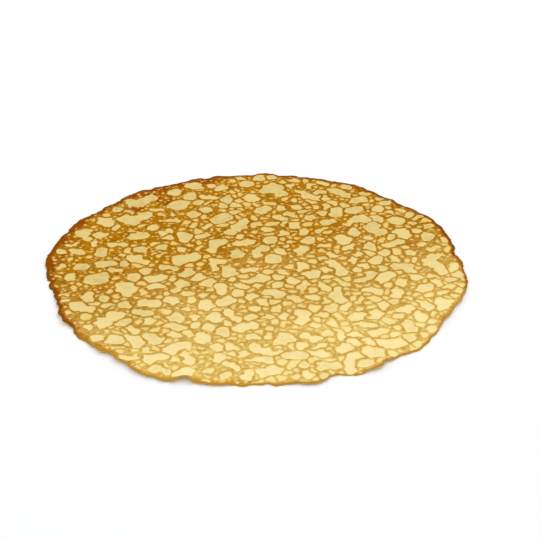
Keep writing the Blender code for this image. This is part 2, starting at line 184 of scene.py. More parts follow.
# The largest cells at their true size, each a chain of circles (x, y, radius)
LARGEST_CELLS = (
    ((-101.0, 103.0, 5.0), (-94.0, 99.0, 6.4), (-90.0, 103.0, 5.0), (-85.0, 107.0, 6.4)),
    ((-103.0, 72.0, 7.0), (-96.0, 68.0, 6.0), (-92.0, 74.0, 5.0), (-87.0, 80.0, 6.4)),
    ((-110.0, 89.0, 5.2),),
    ((-117.0, 67.0, 6.4), (-122.0, 73.0, 2.4)),
    ((-131.0, 50.0, 6.6), (-128.0, 41.0, 4.2)),
    ((-118.0, 47.0, 4.8),),
    ((-94.0, 44.0, 4.2), (-86.0, 47.0, 5.4)),
    ((-80.0, 59.0, 5.0),),
    ((-63.0, 95.0, 8.4),),
    ((-67.0, 118.0, 6.4),),
    ((-55.0, 112.0, 6.6),),
    ((-53.0, 130.0, 7.2),),
    ((-38.0, 130.0, 3.8), (-30.0, 127.0, 5.8)),
    ((-8.0, 133.0, 5.8),),
    ((5.0, 121.0, 4.6), (13.0, 127.0, 8.6), (20.0, 117.0, 5.4)),
    ((-40.0, 109.0, 4.8), (-35.0, 108.0, 4.2)),
    ((-47.0, 102.0, 4.8),),
    ((-25.0, 104.0, 5.2),),
    ((-5.0, 109.0, 6.6),),
    ((-41.0, 88.0, 5.4),),
    ((3.0, 87.0, 7.4),),
    ((-27.0, 76.0, 7.4), (-32.0, 68.0, 5.0)),
    ((-11.0, 65.0, 4.6), (-15.0, 57.0, 6.4), (-20.0, 50.0, 4.0)),
    ((-72.0, 51.0, 4.0), (-66.5, 53.0, 3.4)),
    ((-55.0, 46.0, 6.0), (-54.0, 38.0, 4.4)),
    ((-71.0, 29.0, 4.8),),
    ((-28.0, 35.0, 6.2), (-31.0, 29.0, 4.6), (-33.0, 24.0, 4.4)),
    ((-15.0, 19.0, 5.6),),
    ((-56.0, 8.0, 6.4), (-47.0, 11.0, 6.4)),
    ((-30.0, 5.0, 4.6), (-24.0, 7.0, 4.0), (-30.0, -2.5, 3.5)),
    ((-108.0, 32.0, 4.6), (-100.0, 32.0, 4.4)),
    ((-133.0, 21.0, 5.6),),
    ((-116.0, 19.0, 5.6),),
    ((-112.0, 1.0, 5.0), (-105.0, 5.0, 4.0)),
    ((-132.0, -16.0, 5.2),),
    ((-115.0, -18.0, 8.4), (-109.0, -12.0, 4.6)),
    ((-94.0, -29.0, 6.4), (-90.0, -36.0, 6.4)),
    ((-88.0, -17.0, 5.4),),
    ((-80.0, -8.0, 4.8),),
    ((-74.0, -19.0, 4.6), (-67.0, -15.0, 5.0)),
    ((-52.0, -25.0, 5.6), (-55.0, -33.0, 3.8)),
    ((-20.0, -12.0, 6.0), (-19.0, -5.0, 4.4)),
    ((-25.0, -28.0, 4.5), (-24.0, -36.0, 4.4)),
    ((-34.0, -53.0, 6.8),),
    ((-77.0, -50.0, 4.8), (-69.0, -51.0, 5.2)),
    ((-122.0, -56.0, 5.2), (-114.0, -58.0, 5.6)),
    ((-97.0, -67.0, 5.6), (-102.0, -75.0, 6.0)),
    ((-88.0, -75.0, 5.4),),
    ((-53.0, -68.0, 5.8),),
    ((-27.0, -68.0, 5.6),),
    ((-50.0, -82.0, 5.0), (-57.0, -79.0, 4.0)),
    ((-8.0, -81.0, 5.6), (-1.0, -79.0, 4.4)),
    ((-20.0, -89.0, 5.2),),
    ((-92.0, -96.0, 6.0),),
    ((-70.0, -92.0, 4.8), (-64.0, -98.0, 4.8)),
    ((-46.0, -103.0, 6.4), (-54.0, -108.0, 4.8)),
    ((-45.0, -113.0, 3.6), (-42.0, -120.0, 4.4)),
    ((-22.0, -118.0, 4.6),),
    ((-62.0, -130.0, 4.2), (-55.0, -132.5, 3.6)),
    ((6.0, -133.0, 5.0), (13.0, -130.5, 5.4)),
)
# Small clear cells near the rim on the left
RIM_CELLS = (
    ((-146.0, 20.3, 3.4), (-142.5, 20.0, 3.2)),
    ((-147.3, 8.0, 2.0),),
    ((-142.0, -14.5, 1.8), (-139.8, -14.5, 1.4)),
    ((-138.3, -20.2, 2.4),),
    ((-137.0, -26.0, 2.2),),
    ((-135.2, -32.5, 1.5),),
    ((-136.0, -40.5, 1.7), (-131.0, -40.8, 2.4)),
    ((-131.5, -47.5, 2.8),),
)
# Seed of the other cells, and room for the circles of all of them
CELL_SEED = 5
MOST_CIRCLES = 12000
# Each size of the other cells: tries, smallest and largest radius, gap, darkest browning, most lobes
CELL_SIZES = (
    (500, 3.8, 6.2, 2.6, 1.0, 5),
    (2600, 2.6, 4.4, 2.3, 1.2, 4),
    (3000, 1.6, 2.7, 2.1, 0.75, 3),
    (7000, 0.8, 1.6, 1.8, 0.5, 2),
)
LIMIT_SPREAD = (0.5, 1.1)
SMALLER_MORE_OFTEN = 1.5
# The lobes of a cell: how softly they join, how far each turns, shrinks and steps from the one before
LOBE_BLEND = 0.5
LOBE_TURN = 1.3
LOBE_SHRINK = (0.55, 1.1)
LOBE_STEP = (0.55, 0.95)
LOBED_RADIUS = 0.8
# Small round bubbles between the cells: the room that they leave is to the cells' borders
DOT_SEED = 9
DOT_TRIES = 8000
DOT_SMALLEST = 0.45
DOT_LARGEST = 1.6
DOT_ROOM = (0.2, 0.5)
DOT_GAP = 0.35
DOT_RIM_GAP = 0.6
# Small cells are fainter: how faint, and the radii between which that fades
FAINTEST_CELL = 0.75
FAINT_RADIUS = 1.2
CLEAR_RADIUS = 2.8

# How the cells are measured: size of the tiles that are done at once, how far past a tile its cells are
# looked for, what counts as far from any cell, and a sum that is as good as 0
TILE = 10.0
TILE_REACH = 11.0
FAR_OUT = 9.0
NO_SUM = 1e-30

# Fineness of the sheet: points round its edge, and the rings inside the edge, each with its depth and how
# many times fewer points it has
EDGE_POINTS = 948
RIM_RINGS = ((0.5, 1), (1.1, 2), (1.9, 2), (3.0, 2))
BACK_RINGS = ((0.7, 2), (1.9, 3), (4.0, 4))
INNER_RING = RIM_RINGS[-1][0]
# The grid that the cells' borders are found on: step, margin round the pan, and gap to the innermost ring
GRID_STEP = 0.5
GRID_MARGIN = 6.0
GRID_RIM_GAP = 0.5
NO_DIFFERENCE = 1e-12
# Spacing of the points on the borders, midway between cells, at the foot of the cells' walls and elsewhere
BORDER_SPACING = 0.62
WALL_SPACING = 0.85
WALL_REACH = 2.5
WALL_CLEAR = 0.45
FOOT_SPACING = 0.9
FOOT_DEPTH = 0.55
FOOT_CLEAR = 0.7
FILL_SPACING = 1.9
FILL_CLEAR = 0.6
FILL_RIM_GAP = 1.0
BACK_SPACING = 3.2
BACK_RIM_GAP = 6.0
LATTICE_MARGIN = 5.0
# A pair of square lattices, half a square apart, and the step between the keys of a lattice's rows
LATTICES = (0.0, 0.5)
KEY_STEP = 100000
# Each place of a grid and the next one, across and along it
ALL_OF = slice(None)
BUT_LAST = slice(None, -1)
BUT_FIRST = slice(1, None)
NEIGHBOURS = (((BUT_LAST, ALL_OF), (BUT_FIRST, ALL_OF)), ((ALL_OF, BUT_LAST), (ALL_OF, BUT_FIRST)))
# The triangles: only those inside the edge, how near two points count as one, and from what angle they meet
# sharply, in degrees
INSIDE_ONLY = 1
SAME_POINT = 1e-4
SHARP_ANGLE = 50.0

# Fine relief: how much shallower a dot is than a cell, the grain, and how far the edge bulges
DOT_DENT = 0.5
GRAIN_RISE = 0.05
GRAIN_REACH = 2.0
EDGE_BULGE = 0.12

# What the material reads at the points: ranges that are stored, and how far round a cell its faintness counts
TINT_SEED = 4
STORED_DEPTHS = (-3.0, 4.0)
STORED_RIM = 12.0
FAINT_REACH = 1.4
MIDDLE_OF_EDGE = 0.5

# The batter is fairer towards the front and a little to the right, and painted light from the front lightens
# it there too: where that starts, and over how far
FAIR_AND_LIT_FROM = 40.0
FAIR_AND_LIT_SIDEWAYS = 0.25
FAIR_AND_LIT_OVER = 165.0
FAIR_AND_LIT_PATCHES = 0.15


def smooth_noise(seed, size):
    """A smooth random field between -1 and 1 whose bumps are about this size."""
    table = np.random.default_rng(seed).uniform(-1.0, 1.0, (FIELD_TABLE, FIELD_TABLE))

    def value(x, y):
        u, v = np.asarray(x) / size + FIELD_START[0], np.asarray(y) / size + FIELD_START[1]
        i, j = np.floor(u).astype(int), np.floor(v).astype(int)
        a, b = (t * t * t * (t * (6 * t - 15) + 10) for t in (u - i, v - j))
        i, j, next_i, next_j = (k % FIELD_TABLE for k in (i, j, i + 1, j + 1))
        low = table[i, j] * (1 - b) + table[i, next_j] * b
        high = table[next_i, j] * (1 - b) + table[next_i, next_j] * b
        return low * (1 - a) + high * a

    return value


# Smooth random fields, each with its seed and the size of its bumps
WIDE_NOISE = smooth_noise(11, 34.0)
PATCH_NOISE = smooth_noise(12, 13.0)
BLISTER_NOISE = smooth_noise(13, 38.0)
RAGGED_NOISE = smooth_noise(14, RAGGED_SIZE)
RIM_NOISE = smooth_noise(15, 16.0)
FRAYED_NOISE = smooth_noise(16, FRAYED_SIZE)
GRAIN_NOISE = smooth_noise(17, 1.7)
# The domain warp that makes the cells uneven: two fields and a strength for each size
WARPS = (
    (smooth_noise(21, 11.0), smooth_noise(22, 11.0), 1.9),
    (smooth_noise(23, 4.4), smooth_noise(24, 4.4), 1.5),
    (smooth_noise(25, 2.1), smooth_noise(26, 2.1), 0.6),
)


def smooth_step(value):
    """0 up to a value of 0 and 1 from a value of 1, smooth between them."""
    t = np.clip(value, 0.0, 1.0)
    return t * t * (3.0 - 2.0 * t)


def lobe(angle, middle, half_width):
    """A bump with a flat top, 1 in the middle, of an angle in degrees."""
    offset = (angle - middle + 180.0) % 360.0 - 180.0
    return np.exp(-((offset / half_width) ** 4))


def edge_radius(angle):
    """Distance of the edge from the pan's middle."""
    lobes = EDGE_LOBES + SMALL_NICKS
    radius = RADIUS + sum(rise * lobe(angle, middle, width) for middle, width, rise in lobes)
    turn = np.radians(angle)
    radius = radius + EDGE_SHIFT[0] * np.cos(turn) + EDGE_SHIFT[1] * np.sin(turn)
    return radius + RAGGED_RISE * RAGGED_NOISE(RADIUS * np.cos(turn), RADIUS * np.sin(turn))


def inward(x, y):
    """Distance in from the edge, and the angle in degrees."""
    angle = np.degrees(np.arctan2(y, x)) % 360.0
    return edge_radius(angle) - np.hypot(x, y), angle


def lift(x, y):
    """Height of the underside above the surface: 0 over most of the sheet."""
    depth, angle = inward(x, y)
    height = BLISTER_RISE * np.clip(BLISTER_NOISE(x, y) - BLISTER_START, 0.0, None)
    height = height * smooth_step((np.hypot(x, y) - BLISTER_CLEAR) / BLISTER_CLEAR)
    height = height * smooth_step(depth / BLISTER_RIM_CLEAR)
    for middle, width, rise, reach in RIM_CURLS:
        height = height + rise * lobe(angle, middle, width) * smooth_step(1.0 - depth / reach) ** CURL_BEND
    loose = np.clip(LOOSE_RIM_SHARE + RIM_NOISE(x, y), 0.0, None)
    return height + LOOSE_RIM_RISE * loose * smooth_step(1.0 - depth / LOOSE_RIM_REACH) ** LOOSE_RIM_BEND


def back_left(x, y):
    """How far a place is towards the back left, about 1 at the rim there and -1 across from it."""
    return (BROWNER_WAY[0] * x + BROWNER_WAY[1] * y) / RADIUS


def browning(x, y):
    """How strongly the batter browned: more at the rim and towards the back left."""
    depth, _ = inward(x, y)
    patches = WIDE_PATCHES * WIDE_NOISE(x, y) + SMALL_PATCHES * PATCH_NOISE(x, y)
    for across, along, reach, rise in BROWN_SPOTS:
        patches = patches + rise * smooth_step(1.0 - np.hypot(x - across, y - along) / reach)
    rim = np.clip(1.0 - depth / (RIM_BAND + RIM_BAND_THERE * back_left(x, y)), 0.0, 1.0)
    return np.clip(BROWNING + patches + BROWNER_THERE * back_left(x, y) + BROWNER_RIM * rim, 0.0, MOST_BROWN)


def random_chain(draw, smallest, largest, most_lobes):
    """A bent chain of touching circles somewhere on the sheet."""
    place, away = draw.uniform(0.0, 2 * math.pi), RADIUS * math.sqrt(draw.uniform())
    radius = smallest + (largest - smallest) * draw.uniform() ** SMALLER_MORE_OFTEN
    lobes = 1 + int(draw.uniform() * most_lobes)
    heading = draw.uniform(0.0, 2 * math.pi)
    turns = draw.uniform(-LOBE_TURN, LOBE_TURN, most_lobes)
    shrinks = draw.uniform(*LOBE_SHRINK, most_lobes)
    steps = draw.uniform(*LOBE_STEP, most_lobes)
    if lobes > 1:
        radius *= LOBED_RADIUS
    x, y = away * math.cos(place), away * math.sin(place)
    chain = []
    for turn, shrink, step in list(zip(turns, shrinks, steps))[:lobes]:
        chain.append((x, y, radius))
        heading += turn
        away = radius * (1.0 + shrink) * step
        x, y, radius = x + away * math.cos(heading), y + away * math.sin(heading), radius * shrink
    return np.array(chain)


def warp(x, y):
    """How far each place is shifted before the cells are measured there."""
    return sum(np.array((across(x, y), along(x, y))) * strength for across, along, strength in WARPS)


def growth(x, y):
    """How far the cells' borders lie outside their circles, less where the batter browned."""
    return CELL_GROWTH - GROWTH_LOST * np.clip(browning(x, y), 0.0, 1.0)


def seeded(chain):
    """The circles that the warp and the growth bring back to this chain's own place and size."""
    x, y, radius = chain.T
    shift = warp(x, y)
    return np.column_stack((x + shift[0], y + shift[1], radius - np.minimum(growth(x, y), CROWDED_GROWTH)))


def place_cells():
    """Circles (x, y, radius) of all cells, large ones first, and the number of each one's cell."""
    draw = np.random.default_rng(CELL_SEED)
    circles = np.zeros((MOST_CIRCLES, 3))
    owner = np.zeros(MOST_CIRCLES, int)
    count, cells = 0, 0
    for chain in LARGEST_CELLS + RIM_CELLS:
        circles[count:count + len(chain)] = seeded(np.array(chain))
        owner[count:count + len(chain)] = cells
        count += len(chain)
        cells += 1
    for tries, smallest, largest, gap, darkest, most_lobes in CELL_SIZES:
        for _ in range(tries):
            chain = random_chain(draw, smallest, largest, most_lobes)
            limit = darkest * draw.uniform(*LIMIT_SPREAD)
            x, y, radius = chain.T
            from_rim = inward(x, y)[0] - radius - RIM_GAP_THERE * np.clip(back_left(x, y), 0.0, 1.0)
            if from_rim.min() < RIM_GAP or browning(x[0], y[0]) > limit:
                continue
            placed = circles[:count]
            spans = np.hypot(placed[:, 0, None] - x, placed[:, 1, None] - y)
            if (spans - placed[:, 2, None] - radius).min() < gap:
                continue
            circles[count:count + len(chain)] = chain
            owner[count:count + len(chain)] = cells
            count += len(chain)
            cells += 1
    return circles[:count], owner[:count]


def nearest_cells(x, y, circles, owner):
    """Gap to the nearest and the second cell, and the number of the nearest."""
    nearest = np.full(len(x), FAR_OUT)
    second = nearest.copy()
    who = np.full(len(x), -1)
    column, row = np.floor(x / TILE).astype(int), np.floor(y / TILE).astype(int)
    key = column * KEY_STEP + row
    order = np.argsort(key, kind="stable")
    cuts = np.flatnonzero(np.diff(key[order])) + 1
    for pick in np.split(order, cuts):
        middle_x, middle_y = (column[pick[0]] + 0.5) * TILE, (row[pick[0]] + 0.5) * TILE
        away = np.maximum(abs(circles[:, 0] - middle_x), abs(circles[:, 1] - middle_y))
        near = np.flatnonzero(away < TILE / 2 + TILE_REACH)
        if not len(near):
            continue
        spans = np.hypot(x[pick, None] - circles[near, 0], y[pick, None] - circles[near, 1])
        gaps = spans - circles[near, 2]
        owners = owner[near]
        first = np.flatnonzero(np.r_[True, owners[1:] != owners[:-1]])
        joined = np.add.reduceat(np.exp(-gaps / LOBE_BLEND), first, axis=1)
        gaps = -LOBE_BLEND * np.log(np.maximum(joined, NO_SUM))
        if gaps.shape[1] == 1:
            nearest[pick], who[pick] = gaps[:, 0], owners[0]
            continue
        two = np.argpartition(gaps, 1, axis=1)[:, :2]
        nearest[pick], second[pick] = np.take_along_axis(gaps, two, 1).T
        who[pick] = owners[first[two[:, 0]]]
    return np.minimum(nearest, FAR_OUT), np.minimum(second, FAR_OUT), who


def cell_depth(x, y, circles, owner):
    """Distance inside the border of the nearest cell, negative outside, and the cell's number."""
    shift = warp(x, y)
    nearest, second, who = nearest_cells(x + shift[0], y + shift[1], circles, owner)
    wall = WALL_WIDTH + WALL_GAINED * np.clip(browning(x, y), 0.0, 1.0)
    return np.minimum(growth(x, y) - nearest, (second - nearest - wall) / 2), who


def place_dots(circles, owner):
    """Small round bubbles in the brown between the cells, each a circle of its own."""
    draw = np.random.default_rng(DOT_SEED)
    place = draw.uniform(0.0, 2 * math.pi, DOT_TRIES)
    away = RADIUS * np.sqrt(draw.uniform(size=DOT_TRIES))
    x, y = away * np.cos(place), away * np.sin(place)
    room = np.minimum(-cell_depth(x, y, circles, owner)[0], inward(x, y)[0] - DOT_RIM_GAP)
    room = room - draw.uniform(*DOT_ROOM, DOT_TRIES)
    radius = np.minimum(room, draw.uniform(DOT_SMALLEST, DOT_LARGEST, DOT_TRIES))
    fits = np.flatnonzero(radius > DOT_SMALLEST)
    dots = np.column_stack((x, y, radius))[fits[np.argsort(-radius[fits])]]
    kept = np.zeros((0, 3))
    for dot in dots:
        gaps = np.hypot(*(kept[:, :2] - dot[:2]).T) - kept[:, 2] - dot[2]
        if not len(kept) or gaps.min() > DOT_GAP:
            kept = np.vstack((kept, dot))
    return kept


class Lace:
    """The cells and dots of the baked side."""

    def __init__(self):
        self.circles, self.owner = place_cells()
        self.dots = place_dots(self.circles, self.owner)
        first = np.flatnonzero(np.r_[True, np.diff(self.owner) > 0])
        largest = np.maximum.reduceat(self.circles[:, 2], first)
        self.faint = FAINTEST_CELL * smooth_step((CLEAR_RADIUS - largest) / (CLEAR_RADIUS - FAINT_RADIUS))
        self.faint[:len(LARGEST_CELLS) + len(RIM_CELLS)] = 0.0

    def measure(self, x, y):
        """Depth inside the nearest cell or dot, its number, and how faint it is: 1 for a dot."""
        depth, who = cell_depth(x, y, self.circles, self.owner)
        gap, _, dot = nearest_cells(x, y, self.dots, np.arange(len(self.dots)))
        in_dot = -gap > depth
        number = np.where(in_dot, dot + self.owner[-1] + 1, who)
        return np.where(in_dot, -gap, depth), number, np.where(in_dot, 1.0, self.faint[who])


def ring_at(depth, count, frayed=0.0):
    """Points at an even spacing round the sheet, this far in from its edge."""
    angle = np.arange(count) * 360.0 / count
    turn = np.radians(angle)
    fray = frayed * FRAYED_RISE * FRAYED_NOISE(RADIUS * np.cos(turn), RADIUS * np.sin(turn))
    radius = edge_radius(angle) - depth + fray
    return np.column_stack((radius * np.cos(turn), radius * np.sin(turn)))


def edge_rings(inner):
    """The edge and the rings inside it."""
    rings = [ring_at(depth, EDGE_POINTS // part, FRAYED_INSIDE) for depth, part in inner]
    return [ring_at(0.0, EDGE_POINTS, 1.0), *rings]


def crossings(values, xs, ys, wanted):
    """Points where a field on a grid passes through 0 between neighbours that are both wanted."""
    points = []
    for here, there in NEIGHBOURS:
        a, b = values[here], values[there]
        cross = (a * b < 0) & wanted[here] & wanted[there]
        share = (a / (a - b + NO_DIFFERENCE))[cross]
        points.append(np.column_stack([
            grid[here][cross] + share * (grid[there] - grid[here])[cross] for grid in (xs, ys)
        ]))
    return np.vstack(points)


def changes(labels, xs, ys, wanted):
    """Points halfway between neighbours on a grid with unlike labels."""
    points = []
    for here, there in NEIGHBOURS:
        cross = (labels[here] != labels[there]) & wanted[here] & wanted[there]
        points.append(np.column_stack([(grid[here] + grid[there])[cross] / 2 for grid in (xs, ys)]))
    return np.vstack(points)


def squares_of(points, size, shift):
    """A key for the square of this size that each point falls in, on one of the two lattices."""
    square = np.floor(points / size + shift).astype(int)
    return square[:, 0] * KEY_STEP + square[:, 1]


def thinned(points, spacing):
    """The points less those that share a square of this size with another, on either lattice."""
    for shift in LATTICES:
        _, keep = np.unique(squares_of(points, spacing, shift), return_index=True)
        points = points[np.sort(keep)]
    return points


def clear_of(points, others, gap):
    """The points with none of the others nearer than about this gap."""
    keep = np.ones(len(points), bool)
    for shift in LATTICES:
        keep &= ~np.isin(squares_of(points, gap, shift), squares_of(others, gap, shift))
    return points[keep]


def hex_lattice(spacing):
    """Points in even rows over the whole pan, each with six neighbours at this spacing."""
    reach = RADIUS + LATTICE_MARGIN
    rows = np.arange(-reach, reach, spacing * math.sqrt(0.75))
    columns = np.arange(-reach, reach, spacing)
    x, y = np.meshgrid(columns, rows)
    x[::2] += spacing / 2
    return np.column_stack((x.ravel(), y.ravel()))


def triangulated(rings, points):
    """Triangles between the edge, which is the first ring, and the points inside it."""
    everything = [Vector(point) for point in np.vstack((*rings, points))]
    loop = list(range(len(rings[0])))
    result = delaunay_2d_cdt(everything, [], [loop], INSIDE_ONLY, SAME_POINT)
    return np.array([tuple(point) for point in result[0]]), np.array(result[2])


def baked_side(lace):
    """Points and triangles of the side that shows, fine along the cells' borders."""
    steps = np.arange(-RADIUS - GRID_MARGIN, RADIUS + GRID_MARGIN, GRID_STEP)
    xs, ys = np.meshgrid(steps, steps, indexing="ij")
    inside = inward(xs, ys)[0] > INNER_RING + GRID_RIM_GAP
    depth, number, _ = lace.measure(xs.ravel(), ys.ravel())
    depth, number = depth.reshape(xs.shape), number.reshape(xs.shape)
    border = thinned(crossings(depth, xs, ys, inside), BORDER_SPACING)
    walls = inside & (depth < 0) & (depth > -WALL_REACH)
    between = clear_of(changes(number, xs, ys, walls), border, WALL_SPACING * WALL_CLEAR)
    between = thinned(between, WALL_SPACING)
    foot = thinned(crossings(depth - FOOT_DEPTH, xs, ys, inside), FOOT_SPACING)
    foot = clear_of(foot, border, FOOT_DEPTH * FOOT_CLEAR)
    drawn = np.vstack((border, between, foot))
    fill = hex_lattice(FILL_SPACING)
    fill = fill[inward(*fill.T)[0] > INNER_RING + FILL_RIM_GAP]
    fill = clear_of(fill, drawn, FILL_SPACING * FILL_CLEAR)
    return triangulated(edge_rings(RIM_RINGS), np.vstack((drawn, fill)))


def plain_side():
    """Points and triangles of the underside."""
    fill = hex_lattice(BACK_SPACING)
    return triangulated(edge_rings(BACK_RINGS), fill[inward(*fill.T)[0] > BACK_RIM_GAP])


def baked_height(x, y, dent):
    """Height of the baked side, this much lower where it is dented."""
    depth, _ = inward(x, y)
    body = RIM_THICKNESS + (THICKNESS - RIM_THICKNESS) * smooth_step(depth / RIM_TAPER)
    return lift(x, y) + body - dent


def fairness_and_front_light(x, y):
    """How fair the batter stayed, with painted light from the front on top: from 0, well baked, to 1."""
    way = FAIR_AND_LIT_FROM - y + FAIR_AND_LIT_SIDEWAYS * x
    return smooth_step(way / FAIR_AND_LIT_OVER + FAIR_AND_LIT_PATCHES * WIDE_NOISE(x, y))


def centre_of_box():
    """Middle of the solid's box, which is the part's origin."""
    edge = ring_at(0.0, CAD_EDGE_POINTS)
    return (edge.min(axis=0) + edge.max(axis=0)) / 2


def wall_faces(rows):
    """Triangles between the rows of points round the edge, each row given by its first point."""
    here = np.arange(EDGE_POINTS)
    after = (here + 1) % EDGE_POINTS
    faces = []
    for upper, lower in zip(rows, rows[1:]):
        faces.append(np.column_stack((upper + here, lower + here, lower + after)))
        faces.append(np.column_stack((upper + here, lower + after, upper + after)))
    return np.vstack(faces)


def store(mesh, name, values):
    """Keeps a number for each point of the mesh, for its material."""
    mesh.attributes.new(name, "FLOAT", "POINT").data.foreach_set("value", values.astype(np.float32))


def build_sheet():
    """The whole crepe as one closed mesh, with what its material needs stored at its points."""
    lace = Lace()
    top, top_faces = baked_side(lace)
    bottom, bottom_faces = plain_side()
    depth, number, faint = lace.measure(*top.T)
    dent = DENT_DEPTH * (1.0 - DOT_DENT * faint) * smooth_step(depth / DENT_WALL)
    grain = GRAIN_RISE * GRAIN_NOISE(*top.T) * smooth_step(inward(*top.T)[0] / GRAIN_REACH)
    top_height = baked_height(*top.T, dent - grain)
    bottom_height = lift(*bottom.T)

    edge = top[:EDGE_POINTS]
    outward = edge / np.hypot(*edge.T)[:, None]
    middle_height = (bottom_height[:EDGE_POINTS] + top_height[:EDGE_POINTS]) / 2
    points = np.vstack((
        np.column_stack((top, top_height)),
        np.column_stack((edge + EDGE_BULGE * outward, middle_height)),
        np.column_stack((bottom, bottom_height)),
    ))
    first_middle, first_bottom = len(top), len(top) + EDGE_POINTS
    walls = wall_faces((0, first_middle, first_bottom))
    faces = np.vstack((top_faces, walls, bottom_faces[:, ::-1] + first_bottom))

    mesh = bpy.data.meshes.new(NAME)
    places = points - (*centre_of_box(), 0.0)
    mesh.from_pydata((places * MM).tolist(), [], faces.tolist())
    mesh.validate()
    x, y = points[:, :2].T
    spare = len(points) - len(top)
    tints = np.random.default_rng(TINT_SEED).uniform(-1.0, 1.0, number.max() + 2)
    store(mesh, "cell", np.r_[np.clip(depth, *STORED_DEPTHS), np.full(spare, STORED_DEPTHS[0])])
    store(mesh, "faint", np.r_[np.where(depth > -FAINT_REACH, faint, 0.0), np.zeros(spare)])
    store(mesh, "tint", np.r_[tints[number], np.zeros(spare)])
    store(mesh, "brown", browning(x, y))
    # Share of fair batter and of painted light from the front, 0 at the back left to 1 at the front
    store(mesh, "fair_and_lit", fairness_and_front_light(x, y))
    store(mesh, "rim", np.clip(inward(x, y)[0], 0.0, STORED_RIM))
    sides = np.zeros(len(top)), np.full(EDGE_POINTS, MIDDLE_OF_EDGE), np.ones(len(bottom))
    store(mesh, "under", np.concatenate(sides))
    mesh.shade_smooth()
    mesh.set_sharp_from_angle(angle=math.radians(SHARP_ANGLE))
    sheet = bpy.data.objects.new(NAME, mesh)
    bpy.context.scene.collection.objects.link(sheet)
    return sheet


# Numbers of the sockets of a mix of numbers and of a mix of colours: first value, second value and result
NUMBER_SOCKETS = (2, 3, 0)
COLOUR_SOCKETS = (6, 7, 2)
NOISE_MIDDLE = 0.5


class Nodes:
    """Short calls for building a material's node tree."""

    def __init__(self, name):
        self.material = bpy.data.materials.new(name)
        self.material.use_nodes = True
        self.tree = self.material.node_tree
        self.shader = self.tree.nodes["Principled BSDF"]

    def add(self, kind, **settings):
        """A new node of this kind."""
        node = self.tree.nodes.new(kind)
        for key, value in settings.items():
            setattr(node, key, value)
        return node

    def plug(self, value, socket):
        """Links another node's socket to this one, or sets a plain value on it."""
        if isinstance(value, bpy.types.NodeSocket):
            self.tree.links.new(value, socket)
        else:
            socket.default_value = value

    def math(self, operation, a, b=0.0):
        node = self.add("ShaderNodeMath", operation=operation)
        self.plug(a, node.inputs[0])
        self.plug(b, node.inputs[1])
        return node.outputs[0]

    def plus(self, a, b):
        return self.math("ADD", a, b)

    def times(self, a, b):
        return self.math("MULTIPLY", a, b)

    def swing(self, noise, strength, middle=NOISE_MIDDLE):
        """A noise as a value to both sides of 0."""
        return self.times(self.math("SUBTRACT", noise, middle), strength)

    def stored(self, name):
        """A number that the mesh keeps at its points."""
        return self.add("ShaderNodeAttribute", attribute_name=name).outputs["Fac"]

    def step(self, value, low, high, start=0.0, end=1.0):
        """A smooth step from start to end while the value goes from low to high."""
        node = self.add("ShaderNodeMapRange", interpolation_type="SMOOTHSTEP")
        self.plug(value, node.inputs["Value"])
        for socket, number in zip(("From Min", "From Max", "To Min", "To Max"), (low, high, start, end)):
            self.plug(number, node.inputs[socket])
        return node.outputs["Result"]

    def place(self):
        """The place on the object, which all the noises share."""
        nodes = [node for node in self.tree.nodes if node.type == "TEX_COORD"]
        node = nodes[0] if nodes else self.add("ShaderNodeTexCoord")
        return node.outputs["Object"]

    def texture(self, kind, size):
        """A texture over the object whose parts are about this many metres."""
        node = self.add(kind)
        self.plug(self.place(), node.inputs["Vector"])
        self.plug(1.0 / size, node.inputs["Scale"])
        return node

    def noise(self, size, detail, roughness):
        """A noise between 0 and 1 whose bumps are about this many metres."""
        node = self.texture("ShaderNodeTexNoise", size)
        self.plug(detail, node.inputs["Detail"])
        self.plug(roughness, node.inputs["Roughness"])
        return node.outputs["Fac"]

    def specks(self, size):
        """Distance to scattered points about this many metres apart, and a random colour for each."""
        node = self.texture("ShaderNodeTexVoronoi", size)
        return node.outputs["Distance"], node.outputs["Color"]

    def between(self, kind, sockets, share, a, b):
        """Something between a and b, nearer to b as the share grows."""
        first, second, result = sockets
        node = self.add("ShaderNodeMix", data_type=kind)
        self.plug(share, node.inputs["Factor"])
        self.plug(a, node.inputs[first])
        self.plug(b, node.inputs[second])
        return node.outputs[result]

    def mix_value(self, share, a, b):
        """A number between two, nearer to the second as the share grows."""
        return self.between("FLOAT", NUMBER_SOCKETS, share, a, b)

    def mix(self, share, a, b):
        """A colour between two, nearer to the second as the share grows."""
        return self.between("RGBA", COLOUR_SOCKETS, share, a, b)


# The curve of a screen's colours: brightest value, offset and power, and the straight part for the darkest
BRIGHTEST = 255
CURVE_OFFSET = 0.055
CURVE_POWER = 2.4
STRAIGHT_UP_TO = 10
STRAIGHT_SLOPE = 12.92


def linear(value):
    """One value of a colour as a screen shows it, as the linear value that a shader takes."""
    share = value / BRIGHTEST
    if value > STRAIGHT_UP_TO:
        return ((share + CURVE_OFFSET) / (1.0 + CURVE_OFFSET)) ** CURVE_POWER
    return share / STRAIGHT_SLOPE


def colour(red, green, blue):
    """A colour as a screen shows it, for a shader."""
    return linear(red), linear(green), linear(blue), 1.0


# Each tone where the sheet is well baked, at the back left, and at the front, where it is fair and lightened
# by painted light
PALE_EDGE = colour(244, 209, 120), colour(255, 229, 148)
PALE_MIDDLE = colour(228, 204, 132), colour(250, 229, 164)
PALE_SHADE = colour(206, 182, 114), colour(236, 212, 144)
OUTLINE = colour(132, 84, 0), colour(184, 138, 36)
JUNCTION = colour(182, 121, 2), colour(226, 188, 98)
SCORCHED = colour(146, 62, 0), colour(200, 134, 16)
SPECK = colour(237, 193, 94), colour(248, 220, 138)
MOTTLE = colour(208, 146, 18), colour(243, 211, 127)
RIM_BROWN = colour(148, 74, 0), colour(206, 156, 54)
RIM_LINE = colour(130, 74, 6), colour(184, 134, 46)
# Tones of the underside
CREAM = colour(240, 222, 170)
FRECKLE = colour(196, 138, 62)
BACK_LACE = colour(222, 180, 106)

